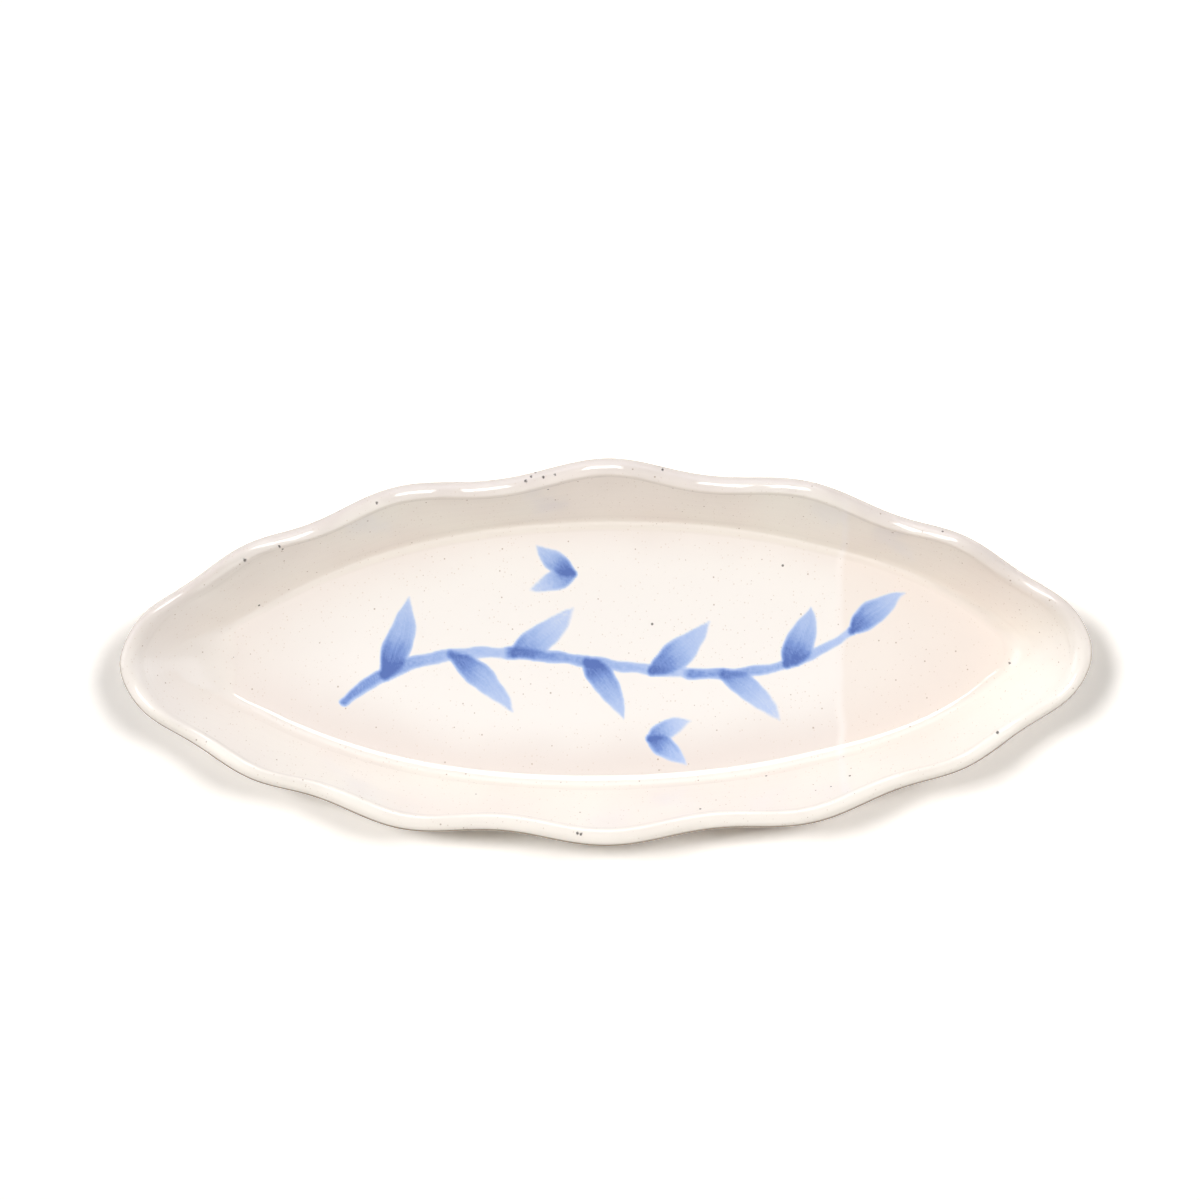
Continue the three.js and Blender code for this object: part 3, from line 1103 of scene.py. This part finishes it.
def seen_directly(tree):
    """1 for rays from the camera, and for those it sends through gloss or glass."""
    path = add_node(tree, "ShaderNodeLightPath").outputs
    glossy = maths(tree, "MAXIMUM", path["Is Glossy Ray"], path["Is Transmission Ray"])
    return maths(tree, "MAXIMUM", path["Is Camera Ray"], glossy)


def make_floor():
    """A plain pale floor that keeps the shadow, lifted to white for the rays that see it."""
    mesh = bpy.data.meshes.new("studio_floor")
    far = FLOOR_REACH
    mesh.from_pydata([(-far, -far, 0), (far, -far, 0), (far, far, 0), (-far, far, 0)], [], [(0, 1, 2, 3)])
    floor = bpy.data.objects.new("studio_floor", mesh)
    bpy.context.scene.collection.objects.link(floor)
    material = bpy.data.materials.new("studio_floor")
    material.use_nodes = True
    tree = material.node_tree
    tree.nodes.clear()
    plain = add_node(tree, "ShaderNodeBsdfDiffuse", {"Color": FLOOR_COLOUR}).outputs[0]
    gain = add_node(tree, "ShaderNodeBsdfDiffuse", {"Color": FLOOR_GAIN}).outputs[0]
    lifted = add_node(tree, "ShaderNodeAddShader", {0: plain, 1: gain}).outputs[0]
    either = add_node(tree, "ShaderNodeMixShader", {0: seen_directly(tree), 1: plain, 2: lifted})
    add_node(tree, "ShaderNodeOutputMaterial", {"Surface": either.outputs[0]})
    mesh.materials.append(material)


def make_world():
    world = bpy.data.worlds.new("studio")
    world.use_nodes = True
    tree = world.node_tree
    tree.nodes.clear()
    seen = seen_directly(tree)
    strength = maths(tree, "ADD", maths(tree, "MULTIPLY", seen, 1 - AMBIENT), AMBIENT)
    background = add_node(tree, "ShaderNodeBackground", {"Color": (1, 1, 1, 1), "Strength": strength})
    add_node(tree, "ShaderNodeOutputWorld", {"Surface": background.outputs[0]})
    bpy.context.scene.world = world


def place_light(light, aim):
    """A lamp that shines from where the aim points."""
    lamp = bpy.data.objects.new(light.name, light)
    lamp.rotation_mode = "QUATERNION"
    lamp.rotation_quaternion = Vector(aim).to_track_quat("Z", "Y")
    bpy.context.scene.collection.objects.link(lamp)
    return lamp


def make_light(name, aim, width_degrees, colour):
    """A far soft light."""
    light = bpy.data.lights.new(name, "SUN")
    light.energy = math.pi * Vector(aim).length
    light.angle = math.radians(width_degrees)
    light.color = colour
    return place_light(light, aim)


def make_key():
    light = bpy.data.lights.new("key", "AREA")
    light.shape = "RECTANGLE"
    halves = [KEY_DISTANCE * math.tan(math.radians(width / 2)) for width in KEY_WIDTHS]
    light.size, light.size_y = (2 * half for half in halves)
    light.energy = KEY_WATTS * KEY_BRIGHTNESS * light.size * light.size_y
    key = place_light(light, KEY_AIM)
    key.location = Vector(KEY_AIM) * KEY_DISTANCE
    key.visible_camera = False
    key.visible_diffuse = False


def make_lights(platter):
    for name, settings in LAMPS.items():
        lamp = make_light(name, *settings)
        lamp.visible_glossy = False
    make_key()
    for name, settings in CARDS.items():
        card = make_light(name, *settings)
        card.data.use_shadow = False
        card.light_linking.receiver_collection = platter


def make_camera():
    data = bpy.data.cameras.new("camera")
    data.sensor_width = SENSOR
    data.lens = SENSOR * CAMERA_DISTANCE / (PHOTO_PIXELS * PIXEL_SIZE)
    camera = bpy.data.objects.new("camera", data)
    half = PHOTO_PIXELS / 2
    right = (RIM_CENTRE_PIXEL[0] - half) * PIXEL_SIZE
    up = (half - RIM_CENTRE_PIXEL[1]) * PIXEL_SIZE
    turn = Matrix.Rotation(CAMERA_ROLL, 4, "Z")
    place = turn @ Vector((-right, -up, 0))
    camera.location = (place.x, place.y, RIM_Z + CAMERA_DISTANCE)
    camera.rotation_euler = (0, 0, CAMERA_ROLL)
    bpy.context.scene.collection.objects.link(camera)
    bpy.context.scene.camera = camera


def make_platter():
    skin, marks = glazed_skin()
    glaze = glaze_material("glaze", painted=False)
    pieces = (
        make_seam_coil(skin, marks, glaze),
        make_wall_ring(skin, marks, glaze),
        make_rim_coil(skin, marks, glaze),
        make_floor_slab(skin, marks, glaze_material("floor_glaze", painted=True)),
        make_foot_ring(clay_material()),
    )
    platter = bpy.data.collections.new("platter")
    for piece in pieces:
        platter.objects.link(piece)
    return platter


make_camera()
make_world()
make_floor()
make_lights(make_platter())
bpy.context.scene.view_settings.view_transform = "Standard"
